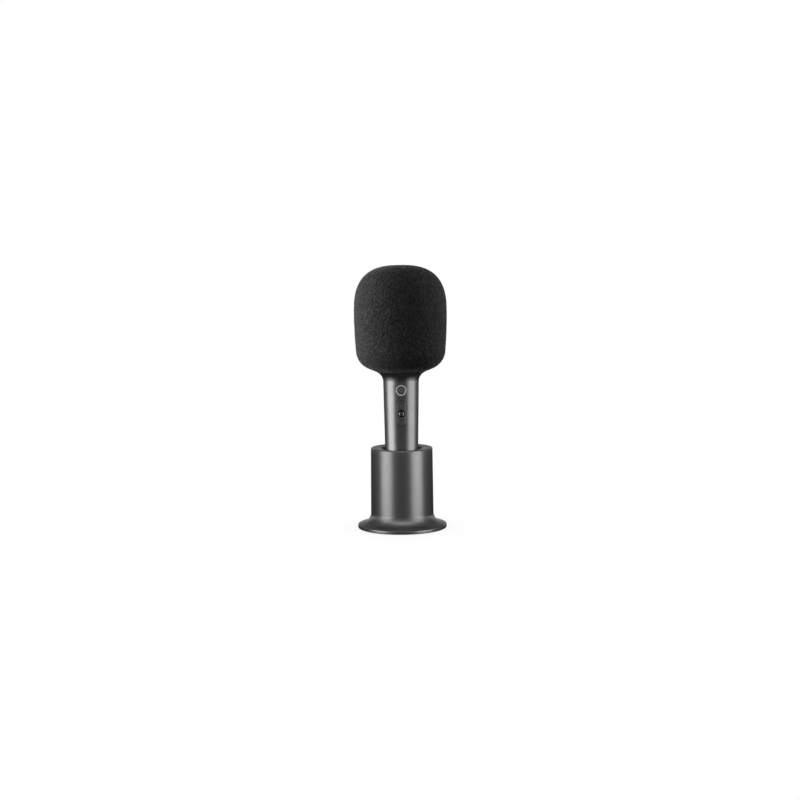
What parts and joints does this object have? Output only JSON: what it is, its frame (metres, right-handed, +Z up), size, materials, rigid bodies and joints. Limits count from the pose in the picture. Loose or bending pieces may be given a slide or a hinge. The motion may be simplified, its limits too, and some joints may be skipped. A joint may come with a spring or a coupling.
{
  "type": "karaoke microphone",
  "caption": "Handheld wireless karaoke microphone with a foam-covered head, thumb keys and an internal speaker, standing upright in a round weighted stand.",
  "frame": {"origin": "middle of the stand's underside, on the table", "axes": "+Z up along the axis of the stand and the microphone; the keys face -Y; +X to the right of somebody facing the keys"},
  "size_m": [0.088, 0.088, 0.25],
  "materials": {
    "gunmetal_paint": "satin metallic",
    "gunmetal_metal": "satin metallic",
    "gunmetal_key": "satin metallic plating",
    "polished_key": "polished, darkened",
    "light_ring": "translucent",
    "black_plastic": "matte",
    "black_rubber": "matte",
    "surround_rubber": "matte",
    "black_foam": "open-cell foam",
    "ballast_iron": "as cast",
    "black_steel": "satin",
    "speaker_steel": "satin",
    "zinc_steel": "zinc plated",
    "socket_steel": "satin",
    "switch_steel": "satin",
    "nickel_strip": "plain",
    "magnet": "matte",
    "circuit_board": "solder mask",
    "chip_plastic": "matte",
    "battery_sleeve": "heat-shrunk film",
    "copper_coil": "enamelled wire",
    "paper_cone": "pressed paper",
    "spider_cloth": "impregnated cloth",
    "brass_capsule": "satin",
    "black_wire": "insulated wire",
    "red_wire": "insulated wire"
  },
  "bodies": {
    "stand": {"stand_shell": "gunmetal_paint", "well_sleeve": "black_plastic", "well_pad": "black_rubber", "ballast_ring": "ballast_iron", "base_plate": "black_steel", "stand_screws": "zinc_steel", "foot_pad": "black_rubber"},
    "microphone": {"handle_shell": "gunmetal_metal", "end_cap": "black_plastic", "end_cap_screws": "zinc_steel", "usb_socket": "socket_steel", "charge_board": "circuit_board", "battery_cell": "battery_sleeve", "battery_tabs": "nickel_strip", "battery_leads": "red_wire", "inner_chassis": "black_plastic", "board_screws": "zinc_steel", "main_board": "circuit_board", "board_chips": "chip_plastic", "key_switches": "switch_steel", "key_carrier": "black_plastic", "power_light_ring": "light_ring", "head_base": "black_plastic", "neck_gasket": "black_rubber", "head_screws": "zinc_steel", "speaker_baffle": "black_plastic", "speaker_frame": "speaker_steel", "speaker_screws": "zinc_steel", "speaker_yoke": "zinc_steel", "speaker_magnet": "magnet", "speaker_top_plate": "zinc_steel", "speaker_surround": "surround_rubber", "speaker_spider": "spider_cloth", "head_grille": "black_steel", "capsule_bracket": "black_plastic", "capsule_mount": "black_rubber", "capsule": "brass_capsule", "capsule_foam": "black_foam", "capsule_wire": "black_wire", "speaker_wire": "red_wire", "foam_windscreen": "black_foam"},
    "power_button": {"power_key": "gunmetal_key"},
    "rocker": {"volume_rocker": "gunmetal_key"},
    "mode_button": {"mode_key": "polished_key"},
    "speaker_diaphragm": {"speaker_cone": "paper_cone", "voice_coil": "copper_coil"}
  },
  "joints": [
    {"name": "mic_lift", "type": "slide", "parent": "stand", "child": "microphone", "axis": [0, 0, 1], "range_m": [0, 0.08]},
    {"name": "power_press", "type": "slide", "parent": "microphone", "child": "power_button", "axis": [0, 1, 0], "range_m": [0, 0.0004], "stiffness_N_per_m": 2000, "springref_m": -0.0004},
    {"name": "rocker_tilt", "type": "hinge", "parent": "microphone", "child": "rocker", "pos_m": [0, -0.0123, 0.1104], "axis": [1, 0, 0], "range_deg": [-2.2, 2.2], "stiffness_Nm_per_rad": 0.275},
    {"name": "mode_press", "type": "slide", "parent": "microphone", "child": "mode_button", "axis": [0, 1, 0], "range_m": [0, 0.0004], "stiffness_N_per_m": 2000, "springref_m": -0.0004},
    {"name": "cone_slide", "type": "slide", "parent": "microphone", "child": "speaker_diaphragm", "axis": [0, 0, 1], "range_m": [-0.001, 0.001], "stiffness_N_per_m": 1200, "deforming": ["speaker_surround", "speaker_spider"]}
  ]
}
